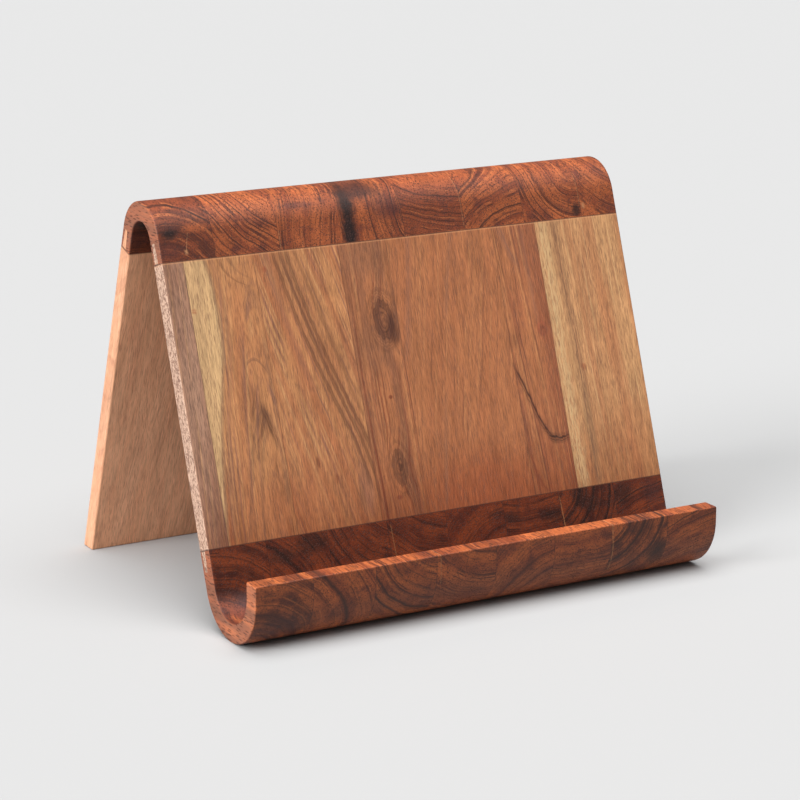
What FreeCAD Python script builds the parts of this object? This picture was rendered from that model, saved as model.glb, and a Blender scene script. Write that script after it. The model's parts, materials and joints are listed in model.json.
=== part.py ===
import FreeCAD, Part
import math
import os
import Sketcher

# A tablet stand of glued acacia, shaped like a bent board: a front panel that leans back, a crown that turns the
# board over the top, a rear leg, and a J-shaped tray at the foot of the front panel.
# X runs along the width, -Y is the side that faces the user, and Z is up. The origin is the middle of the
# footprint, on the surface that the stand rests on.
# The curved pieces are blocks with their fibres front to back; the flat pieces are staves with their fibres up
# the slope. Each stave has a tapered tongue, glued in a groove of the block that it meets.

DRIVING_DIMENSIONS = {
    "overall_width": 305,
    "overall_height": 228.5,
    "board_thickness": 11.5,
    "front_lean": 19.5,          # degrees that the front panel leans back from upright
    "rear_lean": 18.3,           # degrees that the rear leg leans from upright
    "tray_radius": 20,           # inside of the tray's bend, so the tray is twice this wide
    "lip_height": 41,
    "crown_radius": 12.8,        # inside of the bend at the top
    "tray_panel_rise": 22.2,     # how far the tray blocks run up the panel, past their bend
    "crown_front_drop": 14.8,    # how far the crown blocks run down the panel
    "crown_rear_drop": 13.6,     # how far the crown blocks run down the leg
    "tray_pitch": 39,            # width of the six middle tray blocks
    "tray_shift": 0,             # middle seam of the tray blocks, to the right of the stand's middle
    "crown_pitch": 41,           # width of the six middle crown blocks
    "crown_shift": 4,            # middle seam of the crown blocks, to the right of the stand's middle
    "tongue_length": 12,
    "tongue_root": 4.6,          # thickness of the tongue where it leaves the stave
    "tongue_tip": 2.6,           # and at its end
    "front_tongue_inset": 4.8,   # the panel's outer face to the tongue
    "rear_tongue_inset": 2.4,    # the leg's outer face to the tongue
    "edge_easing": 1,            # radius on the lip, on the foot and round both ends
}

BLOCK_COUNT = 8

# widths of the staves from left to right; the last one takes what is left of the overall width
STAVE_WIDTHS = {
    "front": (13, 43.5, 54.5, 31.5, 72.5, 30),
    "rear": (80.5, 48, 52, 41, 46),
}

CLOSE = 0.01        # millimetres; two places nearer than this are the same

doc = FreeCAD.newDocument("tablet_stand")


# ---------------------------------------------------------------- driving dimensions


def fill_sheet(name, values):
    """A spreadsheet with a label and a number on each row; the label is also the number's alias."""
    sheet = doc.addObject("Spreadsheet::Sheet", name)
    for row, (alias, value) in enumerate(values.items(), start=1):
        sheet.set(f"A{row}", alias)
        sheet.set(f"B{row}", str(value))
        sheet.setAlias(f"B{row}", alias)
    doc.recompute()
    return sheet


dims = fill_sheet("dims", DRIVING_DIMENSIONS)
fill_sheet("stave_widths", {f"{side}_{number}": width
                            for side, widths in STAVE_WIDTHS.items()
                            for number, width in enumerate(widths, start=1)})


# ---------------------------------------------------------------- side layout, worked out from the dimensions

layout = doc.addObject("App::VarSet", "layout")


def lay_out(name, expression):
    """A worked-out length of the side view, bound to the dimensions that it follows from."""
    layout.addProperty("App::PropertyFloat", name, "Layout")
    layout.setExpression(name, expression)
    doc.recompute()


# The board's outer face is the one that carries the tablet, passes over the crown and goes down the back of the
# leg. It is tangent to the inside of the tray's bend and to the outside of the crown's.
lay_out("tray_outer", "dims.tray_radius + dims.board_thickness")
lay_out("crown_outer", "dims.crown_radius + dims.board_thickness")
lay_out("tray_z", "tray_outer")
lay_out("crown_z", "dims.overall_height - crown_outer")
lay_out("tray_to_crown", "(dims.tray_radius + crown_outer + (crown_z - tray_z) * sin(dims.front_lean))"
                         " / cos(dims.front_lean)")
lay_out("crown_to_heel", "crown_outer / cos(dims.rear_lean) + crown_z * tan(dims.rear_lean)")
lay_out("tray_y", "tray_outer - (tray_outer + tray_to_crown + crown_to_heel) / 2")
lay_out("crown_y", "tray_y + tray_to_crown")
lay_out("panel_run", "tray_to_crown * sin(dims.front_lean) + (crown_z - tray_z) * cos(dims.front_lean)")


def off_bend(bend, radius, lean, along):
    """Expressions for Y and Z of a place on a leg: square off the bend's centre, then along the leg, up the slope.

    radius is positive on the rear side of the bend and negative on its front side.
    """
    return (f"layout.{bend}_y + ({radius}) * cos({lean}) + ({along}) * sin({lean})",
            f"layout.{bend}_z - ({radius}) * sin({lean}) + ({along}) * cos({lean})")


# The seams between blocks and staves. Each has the place of its corner on the board's outer face, the turn of a
# sketch whose y axis runs up the slope there, the sign of that sketch's x axis into the wood, the tongue's depth
# below the outer face, and how far up the slope the tongue reaches from the seam.
SEAMS = {
    "tray_seam": {
        "corner": off_bend("tray", "dims.tray_radius", "dims.front_lean", "dims.tray_panel_rise"),
        "turn": "-dims.front_lean", "inward": 1, "inset": "dims.front_tongue_inset",
        "reach": "-dims.tongue_length"},
    "front_seam": {
        "corner": off_bend("crown", "-layout.crown_outer", "dims.front_lean", "-dims.crown_front_drop"),
        "turn": "-dims.front_lean", "inward": 1, "inset": "dims.front_tongue_inset",
        "reach": "dims.tongue_length"},
    "rear_seam": {
        "corner": off_bend("crown", "layout.crown_outer", "-dims.rear_lean", "-dims.crown_rear_drop"),
        "turn": "dims.rear_lean", "inward": -1, "inset": "dims.rear_tongue_inset",
        "reach": "dims.tongue_length"},
}

for seam_name, seam_facts in SEAMS.items():
    for axis_name, expression in zip("yz", seam_facts["corner"]):
        lay_out(f"{seam_name}_{axis_name}", expression.replace("layout.", ""))


# ---------------------------------------------------------------- sketches


def side_sketch(body, name):
    """A sketch in the body's side plane, with its x axis along Y and its y axis along Z."""
    plane = next(feature for feature in body.Origin.OriginFeatures if feature.Role == "YZ_Plane")
    sketch = body.newObject("Sketcher::SketchObject", name)
    sketch.AttachmentSupport = [(plane, "")]
    sketch.MapMode = "FlatFace"
    return sketch


def seam_sketch(body, name, seam):
    """A side sketch with its origin at a seam's outer corner and its y axis up the slope."""
    sketch = side_sketch(body, name)
    sketch.setExpression("AttachmentOffset.Base.x", f"layout.{seam}_y")
    sketch.setExpression("AttachmentOffset.Base.y", f"layout.{seam}_z")
    sketch.setExpression("AttachmentOffset.Rotation.Angle", SEAMS[seam]["turn"])
    return sketch


def place_of(sketch, corner):
    """The point that a pair of expressions gives."""
    return FreeCAD.Vector(*(float(sketch.evalExpression(expression)) for expression in corner))


def bind(sketch, kind, geometry, expression):
    """A dimension on the sketch, bound to its expression."""
    value = float(sketch.evalExpression(expression))
    number = sketch.addConstraint(Sketcher.Constraint(kind, *geometry, value))
    sketch.setExpression(f"Constraints[{number}]", expression)


def arc_between(centre, start, end):
    """An anticlockwise arc round centre."""
    angles = [math.atan2(place.y - centre.y, place.x - centre.x) for place in (start, end)]
    circle = Part.Circle(centre, FreeCAD.Vector(0, 0, 1), start.distanceToPoint(centre))
    return Part.ArcOfCircle(circle, *angles)


def outline(sketch, corners, centre=None, arcs=()):
    """A closed outline through corners, each a pair of expressions for its x and y in the sketch.

    arcs maps the number of a curved edge to its radius and to whether it runs anticlockwise round centre.
    """
    places = [place_of(sketch, corner) for corner in corners]
    count = len(places)
    ends = []
    for number in range(count):
        start, end = places[number], places[(number + 1) % count]
        if number not in arcs:
            sketch.addGeometry(Part.LineSegment(start, end))
            ends.append((1, 2))
            continue
        radius, anticlockwise = arcs[number]
        if anticlockwise:
            sketch.addGeometry(arc_between(place_of(sketch, centre), start, end))
            ends.append((1, 2))
        else:
            sketch.addGeometry(arc_between(place_of(sketch, centre), end, start))
            ends.append((2, 1))
    for number, (first, last) in enumerate(ends):
        following = (number + 1) % count
        sketch.addConstraint(Sketcher.Constraint("Coincident", number, last, following, ends[following][0]))
    for number, (across, up) in enumerate(corners):
        corner_point = (-1, 1, number, ends[number][0])
        bind(sketch, "DistanceX", corner_point, across)
        bind(sketch, "DistanceY", corner_point, up)
    for number in arcs:
        bind(sketch, "Radius", (number,), arcs[number][0])


def bend_outline(sketch, bend, first_leg, second_leg):
    """A bend with a leg off each end. The bend runs anticlockwise from the first leg to the second.

    Each leg is the side of the bend that it leaves, its lean, and how far it runs up the slope from the bend.
    """
    def corner(radius, leg, on_bend):
        side, lean, run = leg
        return off_bend(bend, f"{side} * {radius}", lean, "0" if on_bend else run)

    inside = f"dims.{bend}_radius"
    outside = f"layout.{bend}_outer"
    corners = [
        corner(inside, first_leg, False), corner(inside, first_leg, True),
        corner(inside, second_leg, True), corner(inside, second_leg, False),
        corner(outside, second_leg, False), corner(outside, second_leg, True),
        corner(outside, first_leg, True), corner(outside, first_leg, False),
    ]
    centre = (f"layout.{bend}_y", f"layout.{bend}_z")
    outline(sketch, corners, centre, {1: (inside, True), 5: (outside, False)})


def tongue_outline(sketch, seam):
    """The tapered tongue, and the groove that takes it."""
    inward = SEAMS[seam]["inward"]
    inset = SEAMS[seam]["inset"]
    reach = SEAMS[seam]["reach"]
    taper = "(dims.tongue_root - dims.tongue_tip) / 2"
    outline(sketch, [
        (f"{inward} * {inset}", "0"),
        (f"{inward} * ({inset} + {taper})", reach),
        (f"{inward} * ({inset} + {taper} + dims.tongue_tip)", reach),
        (f"{inward} * ({inset} + dims.tongue_root)", "0"),
    ])


# ---------------------------------------------------------------- features


def along_width(body, kind, name, sketch, width):
    """A pad or a pocket of the sketch, from the body's side plane across its whole width."""
    feature = body.newObject(kind, name)
    feature.Profile = sketch
    feature.setExpression("Length", width)
    if kind == "PartDesign::Pocket":
        feature.Reversed = True
    doc.recompute()
    return feature


def seam_middle(seam):
    """The middle of the board's thickness at a seam, in the side plane."""
    corner = FreeCAD.Vector(0, layout.getPropertyByName(f"{seam}_y"), layout.getPropertyByName(f"{seam}_z"))
    turn = FreeCAD.Rotation(FreeCAD.Vector(1, 0, 0), float(layout.evalExpression(SEAMS[seam]["turn"])))
    depth = SEAMS[seam]["inward"] * DRIVING_DIMENSIONS["board_thickness"] / 2
    return corner + turn.multVec(FreeCAD.Vector(0, depth, 0))


def is_eased(edge, end_planes, seams):
    """True for the long edges of the lip and the foot, and for the outline of the stand's left or right end."""
    middle = edge.CenterOfMass
    if any(abs(middle.x - end) < CLOSE for end in end_planes):
        side_middle = FreeCAD.Vector(0, middle.y, middle.z)
        return all(side_middle.distanceToPoint(seam_middle(seam)) > CLOSE for seam in seams)
    span = edge.Vertexes[0].Point - edge.Vertexes[-1].Point
    return abs(span.x) > CLOSE and any(abs(middle.z - height) < CLOSE for height in (0, dims.lip_height))


def ease_edges(body, wood, at_left_end, at_right_end, seams):
    """Round the edges that show. Those against a neighbour stay sharp, so that the glued faces meet flush."""
    end_planes = [0] * at_left_end + [wood.Length.Value] * at_right_end
    names = [f"Edge{number}" for number, edge in enumerate(wood.Shape.Edges, start=1)
             if is_eased(edge, end_planes, seams)]
    if names:
        easing = body.newObject("PartDesign::Fillet", "easing")
        easing.Base = (wood, names)
        easing.setExpression("Radius", "dims.edge_easing")
        doc.recompute()


# ---------------------------------------------------------------- pieces of wood

LEFT_END = "-dims.overall_width / 2"
RIGHT_END = "dims.overall_width / 2"


def make_piece(name, left, right, draw_section, seams, joint):
    """One piece of wood between left and right, which are expressions for X.

    draw_section(body) gives its side outline. joint is the feature made at each seam: a pad for the tongues of a
    stave, or a pocket for the grooves of a block.
    """
    body = doc.addObject("PartDesign::Body", name)
    body.Label = name
    body.setExpression("Placement.Base.x", left)
    width = f"({right}) - ({left})"
    wood = along_width(body, "PartDesign::Pad", "wood", draw_section(body), width)
    ease_edges(body, wood, left == LEFT_END, right == RIGHT_END, seams)
    for seam in seams:
        section = seam_sketch(body, f"{seam}_joint_section", seam)
        tongue_outline(section, seam)
        volume_before = body.Shape.Volume
        along_width(body, joint, f"{seam}_joint", section, width)
        if abs(body.Shape.Volume - volume_before) < CLOSE:
            raise RuntimeError(f"the joint of {name} at {seam} changed nothing")


def bent_blocks(bend, legs, seams):
    """The row of curved blocks at a bend. All but the outermost two have the same width."""
    inner_seams = [f"dims.{bend}_shift + {number - BLOCK_COUNT // 2} * dims.{bend}_pitch"
                   for number in range(1, BLOCK_COUNT)]
    sides = [LEFT_END, *inner_seams, RIGHT_END]

    def draw_section(body):
        sketch = side_sketch(body, "section")
        bend_outline(sketch, bend, *legs)
        return sketch

    for number in range(1, BLOCK_COUNT + 1):
        make_piece(f"{bend}_block_{number}", sides[number - 1], sides[number], draw_section, seams,
                   "PartDesign::Pocket")


def stave_row(side, corners, seams):
    """The staves of the panel or of the leg; corners outline the board from the first seam's outer corner."""
    sides = [LEFT_END]
    for number in range(1, len(STAVE_WIDTHS[side]) + 1):
        sides.append(f"{sides[-1]} + stave_widths.{side}_{number}")
    sides.append(RIGHT_END)

    def draw_section(body):
        sketch = seam_sketch(body, "section", seams[0])
        outline(sketch, corners)
        return sketch

    for number in range(1, len(sides)):
        make_piece(f"{side}_stave_{number}", sides[number - 1], sides[number], draw_section, seams,
                   "PartDesign::Pad")


# a leg of a bend: the side of the bend's centre that it leaves, its lean, and its run up the slope
LIP = ("-1", "0", "dims.lip_height - layout.tray_z")
PANEL_FOOT = ("1", "dims.front_lean", "dims.tray_panel_rise")
PANEL_TOP = ("-1", "dims.front_lean", "-dims.crown_front_drop")
LEG_TOP = ("1", "-dims.rear_lean", "-dims.crown_rear_drop")

PANEL_LENGTH = "layout.panel_run - dims.tray_panel_rise - dims.crown_front_drop"
HEEL = "-layout.rear_seam_z / cos(dims.rear_lean)"
TOE = "(dims.board_thickness * sin(dims.rear_lean) - layout.rear_seam_z) / cos(dims.rear_lean)"

bent_blocks("tray", (LIP, PANEL_FOOT), ("tray_seam",))
bent_blocks("crown", (LEG_TOP, PANEL_TOP), ("front_seam", "rear_seam"))
stave_row("front", [("0", "0"), ("dims.board_thickness", "0"),
                    ("dims.board_thickness", PANEL_LENGTH), ("0", PANEL_LENGTH)], ("tray_seam", "front_seam"))
stave_row("rear", [("0", "0"), ("-dims.board_thickness", "0"),
                   ("-dims.board_thickness", TOE), ("0", HEEL)], ("rear_seam",))


# ---------------------------------------------------------------- checks and files

doc.recompute()
for item in doc.Objects:
    if {"Invalid", "Error"} & set(item.State):
        raise RuntimeError(f"{item.Label} did not compute: {item.State}")

pieces = [item for item in doc.Objects if item.TypeId == "PartDesign::Body"]
for piece in pieces:
    if piece.Shape.isNull() or not piece.Shape.isValid() or len(piece.Shape.Solids) != 1:
        raise RuntimeError(f"{piece.Label} is not one valid solid")

os.makedirs("parts", exist_ok=True)
for piece in pieces:
    piece.Shape.exportStep(f"parts/{piece.Label}.step")
print(f"{len(pieces)} pieces of wood")
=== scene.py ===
import json
import math
import bpy
from mathutils import Matrix, Vector


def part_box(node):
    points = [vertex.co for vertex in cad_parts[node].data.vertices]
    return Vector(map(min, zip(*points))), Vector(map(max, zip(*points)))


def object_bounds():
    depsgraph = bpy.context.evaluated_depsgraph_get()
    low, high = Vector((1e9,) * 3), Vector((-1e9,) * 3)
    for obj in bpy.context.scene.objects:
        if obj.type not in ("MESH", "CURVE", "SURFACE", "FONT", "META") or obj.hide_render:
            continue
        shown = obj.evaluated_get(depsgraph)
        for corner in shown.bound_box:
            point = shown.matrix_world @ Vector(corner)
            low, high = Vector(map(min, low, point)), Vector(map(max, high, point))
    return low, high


# Looks for the tablet stand. Every block and stave keeps its CAD shape and gets its own solid wood, with
# growth rings, pores and fibres that run through the piece, so that the grain agrees at every edge.
# Lengths in the wood are millimetres; everything that Blender places is in metres.

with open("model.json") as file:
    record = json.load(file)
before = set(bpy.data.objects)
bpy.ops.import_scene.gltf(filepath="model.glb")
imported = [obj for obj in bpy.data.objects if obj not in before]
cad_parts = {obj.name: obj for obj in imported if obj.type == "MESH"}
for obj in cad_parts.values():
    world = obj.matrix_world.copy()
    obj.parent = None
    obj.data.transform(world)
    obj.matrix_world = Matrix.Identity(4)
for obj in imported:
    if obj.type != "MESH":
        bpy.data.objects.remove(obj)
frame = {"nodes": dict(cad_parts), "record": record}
cad_box = [list(corner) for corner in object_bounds()]

MM = 0.001
FRONT_LEAN = math.radians(19.5)     # the front panel leans back from upright
REAR_LEAN = math.radians(18.3)      # the rear leg leans the other way
BOARD = 11.5                        # thickness of the bent board
TONGUE_LENGTH = 12                  # how far a stave's tongue goes into the block above it

ROUGHNESS = 0.42                    # of the oiled surface between its fibres and pores
FIBRE_ROUGHNESS = 0.14              # what the fibres add to it
PORE_ROUGHNESS = 0.2                # what an open pore adds to it
SPECULAR = 0.32                     # how strongly the oil reflects
RELIEF_DEPTH = 0.12                 # how deep an open pore is in the bump
RELIEF_STRENGTH = 0.5               # how much of the bump shows

# The distances from its middle between which each line fades in.
GLUE_EDGE = (0.4, 0.1)
SEAM_EDGE = (0.7, 0.3)
FILLER_EDGE = (1.4, 0.9)

# A patch that starts part of the way along its piece fades in over this length.
PATCH_FADE = 20


def srgb(red, green, blue):
    """A colour of 0 to 255 as Blender's linear RGBA."""
    def linear(channel):
        share = channel / 255
        return share / 12.92 if share <= 0.04045 else ((share + 0.055) / 1.055) ** 2.4
    return (linear(red), linear(green), linear(blue), 1.0)


# ---------------------------------------------------------------- node graphs


class Value:
    """A number or colour that a node gives. Arithmetic on it adds Math nodes to its graph."""

    def __init__(self, graph, output):
        self.graph = graph
        self.output = output

    def __add__(self, other):
        return self.graph.math("ADD", self, other)

    def __sub__(self, other):
        return self.graph.math("SUBTRACT", self, other)

    def __mul__(self, other):
        return self.graph.math("MULTIPLY", self, other)

    def __abs__(self):
        return self.graph.math("ABSOLUTE", self)


class Graph:
    """The node tree of one material."""

    def __init__(self, name):
        self.material = bpy.data.materials.new(name)
        self.material.use_nodes = True
        self.tree = self.material.node_tree
        self.surface = self.tree.nodes["Principled BSDF"]

    def feed(self, socket, value):
        if isinstance(value, Value):
            self.tree.links.new(value.output, socket)
        else:
            socket.default_value = value

    def node(self, kind, inputs, output=0, **settings):
        made = self.tree.nodes.new("ShaderNode" + kind)
        for name, setting in settings.items():
            setattr(made, name, setting)
        for key, value in inputs.items():
            self.feed(made.inputs[key], value)
        return Value(self, made.outputs[output])

    def math(self, operation, first, second=0.0):
        return self.node("Math", {0: first, 1: second}, operation=operation)

    def hypot(self, first, second):
        return self.math("SQRT", first * first + second * second)

    def smooth(self, value, low, high):
        """0 at low and 1 at high, with soft ends; low may be above high."""
        return self.node("MapRange", {"Value": value, "From Min": low, "From Max": high},
                         interpolation_type="SMOOTHSTEP")

    def mix(self, first, second, share):
        """Colour first, turning into colour second as share goes from 0 to 1."""
        return self.node("Mix", {0: share, 6: first, 7: second}, 2, data_type="RGBA", clamp_factor=True)

    def multiply(self, colour, other, share=1.0):
        return self.node("Mix", {0: share, 6: colour, 7: other}, 2, data_type="RGBA", blend_type="MULTIPLY")

    def vector(self, x, y, z):
        return self.node("CombineXYZ", {0: x, 1: y, 2: z})

    def noise(self, place, detail, roughness=0.5):
        """3-D noise about 0.5, with features about one unit of place in size."""
        inputs = {"Vector": place, "Scale": 1.0, "Detail": detail, "Roughness": roughness}
        return self.node("TexNoise", inputs)

    def line_noise(self, place, detail, roughness=0.5):
        """1-D noise about 0.5 along place."""
        inputs = {"W": place, "Scale": 1.0, "Detail": detail, "Roughness": roughness}
        return self.node("TexNoise", inputs, noise_dimensions="1D")

    def cells(self, place):
        """Distance to the nearest of many points, scattered in space about one unit apart."""
        return self.node("TexVoronoi", {"Vector": place, "Scale": 1.0}, "Distance")

    def follow(self, along, points):
        """A smooth line through points of (across, along), given as its across value for each along."""
        across = [point[0] for point in points]
        steps = [point[1] for point in points]
        # A line straight along has no span, and a tiny one keeps the division below safe.
        low, span = min(across), max(max(across) - min(across), 0.001)
        start, reach = min(steps), max(steps) - min(steps)
        share = (along - start) * (1 / reach)
        line = self.node("FloatCurve", {"Value": share})
        mapping = line.output.node.mapping
        mapping.use_clip = False
        mapping.extend = "HORIZONTAL"
        curve = mapping.curves[0]
        spots = sorted(((step - start) / reach, (side - low) / span) for side, step in points)
        curve.points[0].location = spots[0]
        curve.points[1].location = spots[-1]
        for spot in spots[1:-1]:
            curve.points.new(*spot)
        mapping.update()
        return line * span + low


# ---------------------------------------------------------------- wood


class Wood:
    """One piece's wood, painted from the inside out.

    across, depth and along are its solid coordinates in millimetres, with the fibres running along. In a
    block they are X, Z and Y. In a stave they are X, the depth under its outer face, and the way up the
    slope. Marks have their places on the show face as (across, up): up is Z in a block, and the way up the
    slope in a stave. Noise lies about 0.5, so a pair such as 0.4 and 0.6 turns it into areas with soft
    edges. The seed moves it from piece to piece, and a number added to the seed keeps one noise of a piece
    from following another.
    """

    def __init__(self, name, figure):
        self.graph = Graph(name)
        self.figure = figure
        self.across, self.depth, self.along = figure["place"](self.graph)
        self.up = self.depth if figure["place"] is in_block else self.along
        self.ragged = self.graph.noise(self.stretched(2.4, 9, figure["seed"] + 17), 2.0) - 0.5
        self.colour = None

    def stretched(self, size, length, shift=0.0):
        """Coordinates for a texture whose features are size across the fibres and length along them."""
        return self.graph.vector(self.across * (1 / size) + shift, self.depth * (1 / size),
                                 self.along * (1 / length))

    def paint(self, colour, share):
        self.colour = self.graph.mix(self.colour, colour, share)

    def ring_radius(self):
        """Distance from the tree's pith, wavy as real growth rings are, and swollen round the knots."""
        graph, figure = self.graph, self.figure
        pith_across, pith_depth = figure["pith"]
        tilt_across, tilt_depth = figure["tilt"]
        radius = graph.hypot(self.across - self.along * tilt_across - pith_across,
                             self.depth - self.along * tilt_depth - pith_depth)
        seed, sway = figure["seed"], figure["sway"]
        slow = graph.noise(self.stretched(28, 190, seed), 2.0)
        quick = graph.noise(self.stretched(5, 60, seed + 31), 2.0)
        radius = radius + (slow - 0.5) * (2 * sway) + (quick - 0.5) * (0.25 * sway)
        for middle, size, _ in figure.get("knots", ()):
            swell = graph.smooth(self.reach(middle, size), 2.6, 0.2)
            radius = radius + swell * (0.45 * size[1])
        return radius

    def growth(self, radius):
        """Growth rings: bands of two colours, clouds of a third, and late-wood lines that come and go."""
        graph, figure = self.graph, self.figure
        seed = figure["seed"]
        band = graph.line_noise(radius * (1 / figure["band"]) + seed * 3.1, 1.0)
        cloud = graph.noise(self.stretched(11, 60, seed + 47), 3.0, 0.6)
        warmth = graph.smooth(band * 0.55 + cloud * 0.45, 0.40, 0.60)
        self.colour = graph.mix(figure["pale"], figure["warm"], warmth)
        self.paint(figure["tint"], graph.smooth(cloud, 0.52, 0.70) * figure["tint_strength"])
        fine = graph.line_noise(radius * (1 / figure["ring"]) + seed * 7.7, 2.0, 0.65)
        places = graph.noise(self.stretched(8, 70, seed + 59), 1.0)
        lively = graph.smooth(places, 0.32, 0.62) * figure["contrast"]
        self.paint(figure["dark"], graph.smooth(fine, 0.50, 0.68) * lively)
        self.paint(figure["light"], graph.smooth(fine, 0.47, 0.33) * lively * 0.8)

    def marked_rings(self, radius):
        """The few rings that stand out, each (radius, half width, strength)."""
        for ring, width, strength in self.figure["rings"]:
            near = self.graph.smooth(abs(radius - ring + self.ragged * (0.7 * width)), width, 0.0)
            self.paint(self.figure["dark"], near * strength)

    def streak(self, colour, width, strength, points):
        """A streak of mineral, sap or filler along points of (across, up) on the piece's show face."""
        graph = self.graph
        sides = [point[0] for point in points]
        rises = [point[1] for point in points]
        if max(rises) - min(rises) >= max(sides) - min(sides):
            main, other, route = self.up, self.across, points
        else:
            main, other, route = self.across, self.up, [(rise, side) for side, rise in points]
        start, end = min(step for _, step in route), max(step for _, step in route)
        fade = min(2.5 * width, 0.3 * (end - start))
        beside = other - graph.follow(main, route) + self.ragged * (0.8 * width)
        lines = graph.line_noise(beside * 0.9 + self.figure["seed"], 2.0)
        body = graph.smooth(abs(beside), width, 0.0) * (graph.smooth(lines, 0.36, 0.60) * 0.6 + 0.4)
        inside = graph.smooth(main, start - fade, start + fade) * graph.smooth(main, end + fade, end - fade)
        self.paint(colour, body * inside * strength)

    def shade(self, start, end):
        """Painted shade near the tray: the colour turns redder and darker along the fibres, from start to
        end.
        """
        share = self.graph.smooth(self.along, start, end)
        self.colour = self.graph.multiply(self.colour, PAINTED_SHADE, share)

    def sapwood(self, edge):
        """Pale sapwood to the left of an edge that runs up the show face."""
        past = self.across - self.graph.follow(self.up, edge) + self.ragged * 2
        self.paint(STRAW, self.graph.smooth(past, 2.2, -2.2) * 0.7)

    def reach(self, middle, size):
        """Distance from a place on the show face, as a share of size, with a ragged edge."""
        return self.graph.hypot((self.across - middle[0]) * (1 / size[0]),
                                (self.up - middle[1]) * (1 / size[1])) + self.ragged * 0.5

    def patch(self, colour, strength, middle, size, start=None):
        """A soft cloud of colour round a place on the show face, and only past start if that is given."""
        share = self.graph.smooth(self.reach(middle, size), 1.15, 0.35) * strength
        if start is not None:
            share = share * self.graph.smooth(self.along, start, start + PATCH_FADE)
        self.paint(colour, share)

    def knot(self, middle, size, colour):
        """A knot: rings round it, a dark rim, and a crazed core."""
        graph = self.graph
        away = self.reach(middle, size)
        rings = graph.line_noise(away * 4 + middle[1], 1.0)
        self.paint(colour, graph.smooth(rings, 0.46, 0.62) * graph.smooth(away, 1.9, 0.8) * 0.5)
        self.paint(colour, graph.smooth(away, 1.15, 0.5) * 0.35)
        self.paint(colour, graph.smooth(abs(away - 0.75), 0.36, 0.0) * 0.5)
        crazing = graph.cells(self.stretched(1.5, 3.0))
        core = graph.smooth(away, 0.6, 0.3)
        self.paint(self.figure["ink"], graph.smooth(crazing, 0.35, 0.75) * core * 0.4)

    def fibre(self):
        """Fine fibres, and slow changes of shade like those of interlocked grain."""
        graph, figure = self.graph, self.figure
        seed, depth = figure["seed"], figure["fibre_depth"]
        fine = graph.noise(self.stretched(0.65, 11, seed), 3.0, 0.8)
        broad = graph.noise(self.stretched(3.2, 45, seed + 3), 4.0, 0.65)
        slow = graph.noise(self.stretched(14, 60, seed + 5), 2.0)
        shade = (fine - 0.5) * (1.7 * depth) + (broad - 0.5) * (0.65 * depth) + (slow - 0.5) * 0.5
        self.colour = graph.multiply(self.colour, shade + 1.0)
        return fine

    def facing(self, axis):
        """1 where the surface is square to an axis of the stand, and 0 where it runs along it."""
        normal = self.graph.node("TexCoord", {}, "Normal")
        return abs(self.graph.node("SeparateXYZ", {0: normal}, axis))

    def end_grain(self):
        """Cut fibres drink the oil and go darker. A block's fibres are cut square where it faces Y."""
        share = self.graph.smooth(self.facing(Y_AXIS), 0.35, 0.95)
        self.colour = self.graph.multiply(self.colour, self.figure["end_grain"], share)

    def edge_face(self, colour, speckle, share):
        """The stand's left end shows the paler edge of the piece, speckled with cut pores; the paleness is
        partly painted highlight.
        """
        graph = self.graph
        at_end = graph.smooth(self.facing(X_AXIS), 0.5, 0.9)
        self.paint(colour, at_end * share)
        grit = graph.noise(self.stretched(1.1, 1.6, 9.1), 2.0, 0.7)
        self.paint(speckle, graph.smooth(grit, 0.46, 0.60) * at_end * (0.9 * share))

    def pores(self):
        """Open pores: dots on end grain and dashes on long grain, wider in some places than in others."""
        graph, figure = self.graph, self.figure
        distance = graph.cells(self.stretched(figure["pore_gap"], 7, 0.3))
        widening = graph.noise(self.stretched(7, 50, figure["seed"] + 71), 2.0) * 0.28
        pore = graph.smooth(distance - widening, 0.27, 0.06)
        self.paint(figure["pore"], pore * figure["pore_strength"])
        return pore

    def glue_lines(self, box):
        """A thin dark line along each glued side and seam, and none on the stand's own two ends."""
        graph = self.graph
        for side, end in ((box[0].x, cad_box[0][0]), (box[1].x, cad_box[1][0])):
            if abs(side - end) > MM:
                near = graph.smooth(abs(self.across - side / MM), *GLUE_EDGE)
                self.paint(self.figure["ink"], near * 0.4)
        for seam, filler in self.figure["seams"]:
            if filler:
                self.paint(FILLER, graph.smooth(abs(self.along - seam), *FILLER_EDGE) * filler)
            self.paint(UMBER, graph.smooth(abs(self.along - seam), *SEAM_EDGE) * 0.8)

    def finish(self, node, pore, fine):
        """Oiled satin surface with the pores left open."""
        graph, surface = self.graph, self.graph.surface
        graph.feed(surface.inputs["Base Color"], self.colour)
        graph.feed(surface.inputs["Roughness"], pore * PORE_ROUGHNESS + fine * FIBRE_ROUGHNESS + ROUGHNESS)
        graph.feed(surface.inputs["Specular IOR Level"], SPECULAR)
        height = fine * 0.6 - pore
        relief = {"Strength": RELIEF_STRENGTH, "Distance": RELIEF_DEPTH * MM, "Height": height}
        graph.feed(surface.inputs["Normal"], graph.node("Bump", relief))
        for slot in node.material_slots:
            slot.material = graph.material


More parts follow.
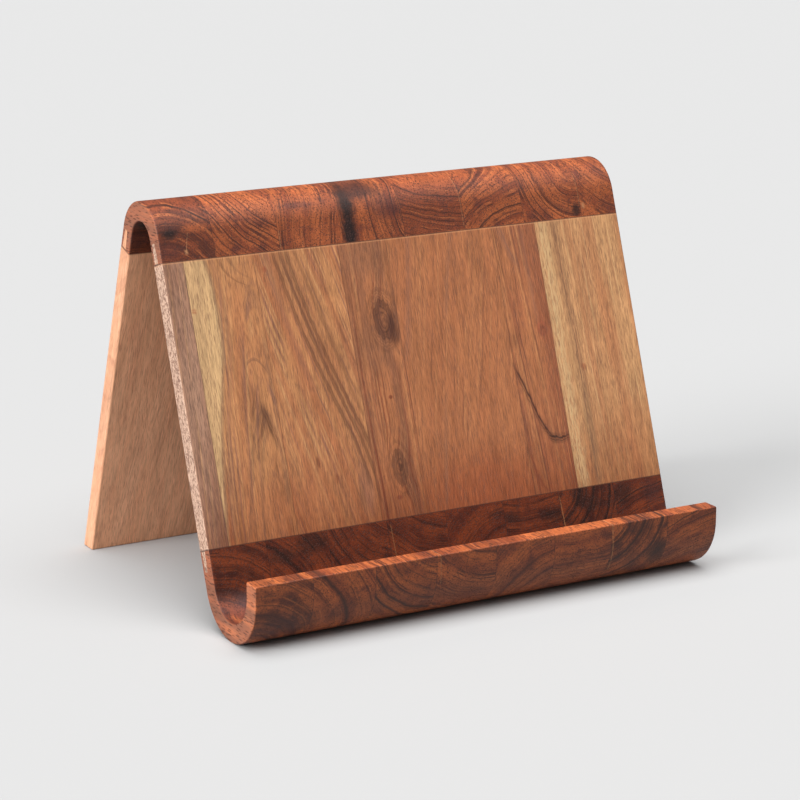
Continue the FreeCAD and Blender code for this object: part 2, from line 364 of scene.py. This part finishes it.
def paint_wood(name, figure):
    """Give one node its wood."""
    wood = Wood(name, figure)
    radius = wood.ring_radius()
    wood.growth(radius)
    wood.marked_rings(radius)
    # Painted shade near the tray, for the pieces that have it.
    if "shade" in figure:
        wood.shade(*figure["shade"])
    if "sap_edge" in figure:
        wood.sapwood(figure["sap_edge"])
    for patch in figure.get("patches", ()):
        wood.patch(*patch)
    for knot in figure.get("knots", ()):
        wood.knot(*knot)
    fine = wood.fibre()
    for streak in figure.get("streaks", ()):
        wood.streak(*streak)
    if figure["end_grain"]:
        wood.end_grain()
    # Paler end faces, partly painted highlight.
    if "edge" in figure:
        wood.edge_face(*figure["edge"])
    pore = wood.pores()
    wood.glue_lines(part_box(name))
    wood.finish(frame["nodes"][name], pore, fine)


# ---------------------------------------------------------------- where each piece's wood lies


X_AXIS = 0
Y_AXIS = 1


def object_place(graph):
    """The row frame's X, Y and Z in millimetres."""
    place = graph.node("TexCoord", {}, "Object")
    return [graph.node("SeparateXYZ", {0: place}, axis) * (1 / MM) for axis in range(3)]


def in_block(graph):
    """A block's fibres run front to back."""
    x, y, z = object_place(graph)
    return x, z, y


def on_slope(corner_y, corner_z, lean, inward):
    """A stave's fibres run up the slope; its depth and its way up count from a corner on its outer face."""
    def place(graph):
        x, y, z = object_place(graph)
        run = y - corner_y
        rise = z - corner_z
        depth = (run * math.cos(lean) - rise * math.sin(lean)) * inward
        return x, depth, run * math.sin(lean) + rise * math.cos(lean)
    return place


def slope_height(stave, foot_z, lean, tip_depth):
    """How far up the slope the seam above a stave is. The stave's box ends at the tip of its tongue."""
    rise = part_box(stave)[1].z / MM - foot_z + tip_depth * math.sin(lean)
    return rise / math.cos(lean) - TONGUE_LENGTH


mounts = {mount["name"]: mount for mount in frame["record"]["mounts"]}
_, panel_y, panel_z = (length / MM for length in mounts["panel_rest"]["pos_m"])
seam_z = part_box("tray_block_1")[1].z / MM
in_panel = on_slope(panel_y + (seam_z - panel_z) * math.tan(FRONT_LEAN), seam_z, FRONT_LEAN, 1)
heel_y = mounts["foot"]["pos_m"][1] / MM + BOARD / 2 / math.cos(REAR_LEAN)
in_leg = on_slope(heel_y, 0, -REAR_LEAN, -1)

# The tip of the tongue starts this deep under the outer face: 5.8 mm in the panel and 3.4 mm in the leg.
PANEL_HEIGHT = slope_height("front_stave_1", seam_z, FRONT_LEAN, 5.8)
LEG_HEIGHT = slope_height("rear_stave_1", 0, REAR_LEAN, 3.4)


# ---------------------------------------------------------------- colours of the wood

STRAW = srgb(188, 156, 112)
SAND = srgb(172, 127, 86)
HONEY = srgb(164, 112, 72)
TAN = srgb(153, 96, 61)
COPPER = srgb(174, 92, 51)
RUSSET = srgb(138, 68, 40)
CHESTNUT = srgb(104, 50, 32)
PLUM = srgb(84, 44, 42)
MAUVE = srgb(122, 82, 65)
WALNUT = srgb(122, 79, 55)
TAUPE = srgb(92, 64, 50)
COCOA = srgb(90, 55, 37)
UMBER = srgb(60, 32, 25)
INK = srgb(30, 18, 17)
FILLER = srgb(196, 138, 96)
PAINTED_SHADE = srgb(210, 184, 170)         # painted shade near the tray: what it leaves of a colour

# A wood's colours and marks. band and ring are the widths of its broad and fine rings, sway is how far they
# wander, pith is the (across, depth) of the tree's middle, and tilt is how far that moves along the fibres.
# Each seam is (how far along, strength of its filler).
HEARTWOOD = {
    "place": in_block, "pale": COPPER, "warm": RUSSET, "light": srgb(194, 112, 64), "dark": UMBER,
    "ink": INK, "pore": UMBER, "tint": PLUM, "tint_strength": 0.45, "contrast": 0.65, "band": 9,
    "ring": 1.7, "sway": 3, "tilt": (0, 0), "fibre_depth": 1.3, "pore_gap": 1.1, "pore_strength": 0.75,
    "end_grain": srgb(204, 204, 204), "seams": ()}
PALE_WOOD = {
    "pale": HONEY, "warm": TAN, "light": SAND, "dark": MAUVE, "ink": UMBER, "pore": srgb(98, 62, 46),
    "tint": WALNUT, "tint_strength": 0.3, "contrast": 0.75, "band": 12, "ring": 1.7, "sway": 4,
    "fibre_depth": 1.2, "pore_gap": 0.6, "pore_strength": 0.5, "end_grain": None, "rings": ()}


def block(seed, pith, rings, **changes):
    """A block of the crown, unless tray() changes it."""
    return HEARTWOOD | {"seed": seed, "pith": pith, "rings": rings} | changes


def tray(seed, pith, rings, **changes):
    """The tray's end grain has soaked up more oil than the crown's; behind the lip, painted shade darkens
    the wall and the well.
    """
    return block(seed, pith, rings, end_grain=srgb(182, 178, 167), shade=(-90, -65), **changes)


def panel(seed, pith, tilt, **changes):
    """A stave of the front panel, with painted shade that darkens and reddens it towards the tray."""
    return PALE_WOOD | {"place": in_panel, "seed": seed, "pith": pith, "tilt": tilt, "shade": (52, -14),
                        "seams": ((0, 0), (PANEL_HEIGHT, 0.4))} | changes


def leg(seed, pith, tilt, **changes):
    """A stave of the rear leg."""
    return PALE_WOOD | {"place": in_leg, "seed": seed, "pith": pith, "tilt": tilt,
                        "seams": ((LEG_HEIGHT, 0.4),)} | changes


# The edge a block shows at the stand's left end: its colour (partly painted highlight), its speckle, and
# how much of it shows.
BLOCK_EDGE = (srgb(214, 144, 104), RUSSET, 0.22)

# A patch that starts at this Y lies on the wall behind the tray and misses the tray's lip.
WALL = -85

# In a block, places are (X, Z). A ring is (radius from the pith, half width, strength), a patch is (colour,
# strength, place, size), a streak is (colour, half width, strength, places), and a knot is (place, size,
# colour).
FIGURES = {
    "crown_block_1": block(1.3, (-148, 183), [(44.5, 0.9, 0.8), (38, 0.6, 0.5), (31, 0.8, 0.6),
                                              (24, 0.6, 0.5)],
        pale=RUSSET, warm=CHESTNUT, edge=BLOCK_EDGE,
        patches=[(COPPER, 0.7, (-129, 215), (10, 3)), (INK, 0.85, (-145, 213), (6, 3.5)),
                 (PLUM, 0.5, (-146, 204), (10, 5))],
        streaks=[(FILLER, 0.3, 0.8, [(-134, 213), (-136.4, 203.4)]),
                 (FILLER, 1.8, 1.0, [(-136.6, 204), (-136.4, 201.6)])]),
    "crown_block_2": block(2.7, (-37, 278), [(94, 0.7, 0.9), (91, 0.6, 0.8), (85, 0.6, 0.9),
                                             (79, 0.7, 0.85), (104.6, 0.6, 0.7), (99, 0.5, 0.5)],
        sway=2.5),
    "crown_block_3": block(3.9, (40, 190), [(118, 0.5, 0.5), (108, 0.6, 0.4), (98, 0.6, 0.4),
                                            (92, 0.5, 0.4)],
        patches=[(PLUM, 0.5, (-62, 221), (12, 2))],
        streaks=[(FILLER, 0.35, 0.7, [(-77.4, 209), (-77.6, 199)])]),
    "crown_block_4": block(4.1, (22, 214), [(54, 3, 0.6), (40, 0.8, 0.8), (36, 0.5, 0.6), (31, 0.8, 0.7),
                                            (27, 0.4, 0.6), (24, 1, 0.8), (20, 0.6, 0.7)],
        patches=[(INK, 0.95, (-32, 204), (6, 13)), (INK, 0.9, (-31, 219), (6.5, 12)),
                 (UMBER, 0.8, (-20, 225), (18, 5)), (PLUM, 0.6, (-6, 215), (12, 8))]),
    "crown_block_5": block(5.5, (48, 325), [(108.5, 0.8, 0.7), (111, 0.5, 0.5), (114, 0.5, 0.5),
                                            (117, 0.8, 0.7), (119, 0.5, 0.5), (121.5, 0.6, 0.6),
                                            (124, 0.6, 0.5)],
        pale=RUSSET, patches=[(COPPER, 0.5, (30, 227), (26, 5))],
        streaks=[(FILLER, 0.4, 0.9, [(44.4, 227), (44.3, 200)])]),
    "crown_block_6": block(6.2, (95, 146), [(65.5, 0.9, 0.9), (88.5, 1.1, 0.7), (70, 0.5, 0.4),
                                            (76, 0.6, 0.5), (82, 0.5, 0.4), (60, 0.6, 0.5)]),
    "crown_block_7": block(7.4, (125, 226), [(37, 0.7, 0.85), (33, 0.6, 0.8), (29, 0.6, 0.8),
                                             (25, 0.6, 0.6), (20, 0.5, 0.5), (15, 0.5, 0.5)],
        patches=[(INK, 0.8, (124, 202.5), (4, 4))],
        streaks=[(FILLER, 0.3, 0.6, [(126.7, 223), (126.5, 205)])]),
    "crown_block_8": block(8.8, (165, 245), [(30, 0.5, 0.3), (24, 0.5, 0.3)],
        streaks=[(FILLER, 1.8, 1.0, [(128.9, 206), (129.1, 203)])]),
    "tray_block_1": tray(11.3, (-152, -8), [(39, 0.9, 0.6), (33, 0.6, 0.5), (44, 0.8, 0.5), (50, 0.9, 0.5)],
        warm=CHESTNUT, edge=BLOCK_EDGE, patches=[(PLUM, 0.6, (-135, 14), (16, 10))]),
    "tray_block_2": tray(12.1, (-136, 5), [(43.2, 2.2, 0.85), (36, 0.6, 0.4), (52, 0.7, 0.5)],
        patches=[(INK, 0.6, (-88, 41), (13, 8), WALL), (UMBER, 0.6, (-108, 36), (12, 5), WALL)]),
    "tray_block_3": tray(13.6, (-32, 60), [(52.3, 1.6, 0.9), (58.8, 1.4, 0.9), (34, 0.7, 0.6),
                                           (40, 0.7, 0.5), (45, 1.0, 0.6)]),
    "tray_block_4": tray(14.9, (0, 75), [(37, 1.5, 0.5), (50, 1, 0.35), (60, 1, 0.3)],
        streaks=[(FILLER, 0.5, 0.7, [(-36.8, 43), (-36.2, 24)])]),
    "tray_block_5": tray(15.2, (45, -5), [(39, 1.2, 0.6), (33, 0.6, 0.4), (45, 0.7, 0.4), (28, 0.8, 0.4)],
        contrast=0.4),
    "tray_block_6": tray(16.7, (58, 120), [(92.5, 0.6, 0.5), (95, 0.6, 0.5)],
        patches=[(INK, 0.6, (72, 34), (13, 5), WALL), (UMBER, 0.6, (44, 36), (8, 4), WALL)]),
    "tray_block_7": tray(17.4, (72, 49), [(21, 1.5, 0.9), (25, 1, 0.7), (30, 2, 0.9), (36, 1, 0.6),
                                          (42, 1.2, 0.6)],
        warm=CHESTNUT,
        patches=[(UMBER, 0.7, (112, 18), (9, 10)), (UMBER, 0.5, (99, 36), (10, 5)),
                 (INK, 0.5, (92, 42), (7, 8), WALL)],
        streaks=[(FILLER, 0.6, 0.8, [(78.6, 43), (80, 12)])]),
    "tray_block_8": tray(18.5, (160, -60), [(102.5, 0.7, 0.85), (98, 0.7, 0.7), (92, 0.5, 0.4)],
        patches=[(INK, 0.6, (123, 39), (9, 8), WALL), (PLUM, 0.6, (144, 38), (9, 9), WALL)]),
}

# In a stave, places are (X, way up the slope): from the tray's seam in the panel, from the heel in the leg.
SAP_EDGE = [(-127, 164), (-123, 122), (-127, 92), (-131, 72), (-134, 52), (-136.5, 32), (-139.5, 6)]
DARK_BAND = [(-80, 162), (-68, 112), (-55, 72), (-45, 42), (-41, 22)]
FIGURES |= {
    "front_stave_1": panel(21.3, (-420, 6), (0.05, 0.02), pale=srgb(150, 113, 91), warm=srgb(132, 95, 76),
        pore=srgb(66, 45, 38), contrast=0.5,
        # Its paler left end is partly painted highlight.
        edge=(srgb(206, 170, 146), srgb(112, 72, 56), 0.9)),
    "front_stave_2": panel(22.4, (-105, 2), (0.02, 0.1), sap_edge=SAP_EDGE,
        streaks=[(TAUPE, 1.5, 0.7, SAP_EDGE), (MAUVE, 2.5, 0.5, [(x + 4, up) for x, up in SAP_EDGE]),
                 (RUSSET, 2.2, 0.8, [(-139, 133), (-136.2, 132.6)]),
                 (UMBER, 1.3, 0.7, [(-118, 160), (-112, 150), (-102, 144)]),
                 (TAUPE, 1.4, 0.6, [(-113, 164), (-108, 154), (-100, 148)]),
                 (TAUPE, 1.6, 0.8, [(-98, 112), (-97.6, 62)]),
                 (TAUPE, 1.8, 0.7, [(-105, 74), (-110, 66), (-115, 52), (-121, 25), (-126, 2)]),
                 (TAUPE, 1.5, 0.5, [(-105, 60), (-109, 50), (-113, 30), (-117, 2)]),
                 (TAUPE, 1.6, 0.6, [(-105, 73), (-101, 66), (-99, 57), (-98, 20)]),
                 (TAUPE, 1.4, 0.9, [(-112, 92), (-107, 102), (-101, 98), (-98, 90)]),
                 (UMBER, 1.8, 0.8, [(-107.6, 86), (-109.5, 78), (-112.4, 70)]),
                 (UMBER, 2.4, 0.9, [(-105.4, 74), (-102.5, 64), (-99.6, 53)]),
                 (UMBER, 1.8, 0.7, [(-104.4, 72), (-107, 63), (-111, 55)])],
        patches=[(UMBER, 0.4, (-105.5, 68), (6, 12)), (TAN, 0.6, (-110, 14), (16, 22))]),
    "front_stave_3": panel(23.8, (-300, 10), (-0.26, 0.01),
        streaks=[*[(COCOA, 2.8, 0.85, [(x + shift, up) for x, up in DARK_BAND]) for shift in (-4, 0.5, 4)],
                 (COCOA, 1.6, 0.6, [(-70, 162), (-57, 112), (-43, 62)]),
                 (COCOA, 1.4, 0.5, [(-64, 150), (-50, 92), (-42, 72)]),
                 (COCOA, 1.2, 0.5, [(-58, 162), (-48, 112), (-42, 92)]),
                 (MAUVE, 3.5, 0.45, [(-90, 164), (-80, 112), (-72, 82)])],
        patches=[(TAN, 0.5, (-70, 20), (26, 26)), (RUSSET, 0.6, (-90, 152), (1.6, 2.4)),
                 (CHESTNUT, 0.6, (-76, 39), (1.6, 4)), (CHESTNUT, 0.5, (-66, 28), (1.6, 4)),
                 (MAUVE, 0.5, (-48, 20), (6, 18))]),
    "front_stave_4": panel(24.1, (-70, 12), (0, 0.02), pale=TAN, warm=srgb(128, 80, 54), light=HONEY,
        dark=CHESTNUT,
        knots=[((-19.5, 115), (7, 13), UMBER), ((-24.5, 29), (5, 11), srgb(80, 48, 34))],
        patches=[(WALNUT, 0.7, (-26, 154), (20, 16)), (WALNUT, 0.6, (-28, 100), (14, 20)),
                 (UMBER, 0.75, (-14.5, 109), (4.5, 12)), (CHESTNUT, 0.8, (-23, 70), (1.8, 1.4)),
                 (CHESTNUT, 0.8, (-28, 12), (2.2, 1.8))]),
    "front_stave_5": panel(25.6, (-260, 10), (0.2, 0), pale=TAN, warm=srgb(150, 92, 58), light=HONEY,
        dark=srgb(116, 72, 50), contrast=0.55,
        streaks=[(MAUVE, 3, 0.6, [(-8, 90), (0, 130), (6, 164)]),
                 (MAUVE, 2.2, 0.5, [(22, 112), (30, 145), (35, 164)]),
                 (MAUVE, 2.4, 0.4, [(2, 2), (12, 60)])],
        patches=[(RUSSET, 0.35, (30, 6), (44, 30))]),
    "front_stave_6": panel(26.9, (20, 12), (-0.04, 0.03), pale=TAN, warm=srgb(140, 82, 54), light=HONEY,
        dark=srgb(104, 62, 45),
        knots=[((86, 98), (3.5, 5), srgb(140, 76, 52))],
        streaks=[(UMBER, 2.6, 1.0, [(62.5, 77), (68, 62), (72, 50), (76, 40), (81, 33)]),
                 (INK, 4.2, 0.9, [(77, 38), (84, 31.6), (92.6, 32.4)]),
                 (MAUVE, 3.5, 0.8, [(66, 164), (75, 137)]), (MAUVE, 3, 0.5, [(82, 160), (83, 106)]),
                 (CHESTNUT, 2.5, 0.7, [(63, 28), (66, 12), (73, 0)])]),
    "front_stave_7": panel(27.7, (200, 14), (-0.05, 0.04), pale=SAND, warm=srgb(166, 115, 77), light=STRAW,
        dark=srgb(134, 90, 65), contrast=0.35,
        streaks=[(STRAW, 7, 0.8, [(97, 164), (97, -2)]),
                 (TAUPE, 5, 0.6, [(106, 164), (107, 110), (108, 60), (106, -2)])],
        patches=[(TAN, 0.3, (132, 100), (8, 50)), (RUSSET, 0.5, (110.5, 72), (2.4, 2.6)),
                 (TAN, 0.4, (135, 30), (24, 26))]),
    "rear_stave_1": leg(31.2, (-330, 10), (0.18, 0.02), pale=srgb(228, 170, 132), warm=srgb(220, 160, 122),
        light=srgb(232, 180, 144), dark=srgb(184, 124, 94), tint=srgb(204, 142, 110),
        pore=srgb(176, 116, 88), contrast=0.4, fibre_depth=0.7),
    "rear_stave_2": leg(32.5, (-55, 5), (0.03, 0.09)),
    "rear_stave_3": leg(33.1, (90, 12), (-0.12, 0.02), pale=srgb(190, 126, 82), warm=TAN),
    "rear_stave_4": leg(34.6, (40, 8), (0.06, 0.05), pale=TAN, warm=srgb(166, 100, 66), dark=CHESTNUT),
    "rear_stave_5": leg(35.4, (210, 14), (0.1, 0.03), pale=SAND, warm=HONEY, light=STRAW),
    "rear_stave_6": leg(36.8, (128, 4), (-0.04, 0.12)),
}

for piece_name, piece_figure in FIGURES.items():
    paint_wood(piece_name, piece_figure)


# ---------------------------------------------------------------- floor, light and camera

FLOOR_SIZE = 60
FLOOR_GREY = srgb(175, 175, 175)
WORLD_STRENGTH = 0.22


def make_floor():
    """A plain pale floor, far wider than the view."""
    bpy.ops.mesh.primitive_plane_add(size=FLOOR_SIZE)
    floor = bpy.context.object
    floor.name = "floor"
    graph = Graph("floor_paint")
    graph.feed(graph.surface.inputs["Base Color"], FLOOR_GREY)
    graph.feed(graph.surface.inputs["Roughness"], 1.0)
    graph.feed(graph.surface.inputs["Specular IOR Level"], 0.05)
    floor.data.materials.append(graph.material)


def direction(azimuth, elevation):
    """The way from the stand to a viewer: azimuth 0 is in front and 90 is to the right."""
    side, rise = math.radians(azimuth), math.radians(elevation)
    return Vector((math.sin(side) * math.cos(rise), -math.cos(side) * math.cos(rise), math.sin(rise)))


def soft_light(name, azimuth, elevation, spread, strength):
    """A light so far away that it falls evenly on the whole floor; spread is its width in degrees."""
    lamp = bpy.data.lights.new(name, "SUN")
    lamp.angle = math.radians(spread)
    lamp.energy = strength
    holder = bpy.data.objects.new(name, lamp)
    bpy.context.collection.objects.link(holder)
    holder.rotation_euler = direction(azimuth, elevation).to_track_quat("Z", "Y").to_euler()


def make_world():
    """An even white glow from all round."""
    world = bpy.data.worlds.new("studio")
    world.use_nodes = True
    glow = world.node_tree.nodes["Background"]
    glow.inputs["Color"].default_value = (1, 1, 1, 1)
    glow.inputs["Strength"].default_value = WORLD_STRENGTH
    bpy.context.scene.world = world


def make_camera(azimuth, elevation, roll, distance, target, lens):
    """A long lens at the stand's front left, looking slightly down at target; angles are in degrees."""
    camera = bpy.data.cameras.new("camera")
    camera.lens = lens
    holder = bpy.data.objects.new("camera", camera)
    bpy.context.collection.objects.link(holder)
    back = direction(azimuth, elevation)
    level = (-back).cross(Vector((0, 0, 1))).normalized()
    aim = Matrix((level, level.cross(-back), back)).transposed()
    holder.rotation_euler = (aim @ Matrix.Rotation(math.radians(roll), 3, "Z")).to_euler()
    holder.location = Vector(target) + back * distance
    bpy.context.scene.camera = holder


make_floor()
make_world()
soft_light("key", azimuth=-78, elevation=27, spread=34, strength=3.1)
soft_light("top", azimuth=-15, elevation=76, spread=60, strength=4.0)
bpy.context.scene.view_settings.view_transform = "Standard"

# The photo's camera, fitted to the outline of the stand's left end and to its long edges.
make_camera(azimuth=-29.77, elevation=14.87, roll=0.16, distance=1.7785,
            target=(0.05499, 0.09036, 0.07071), lens=126.57)
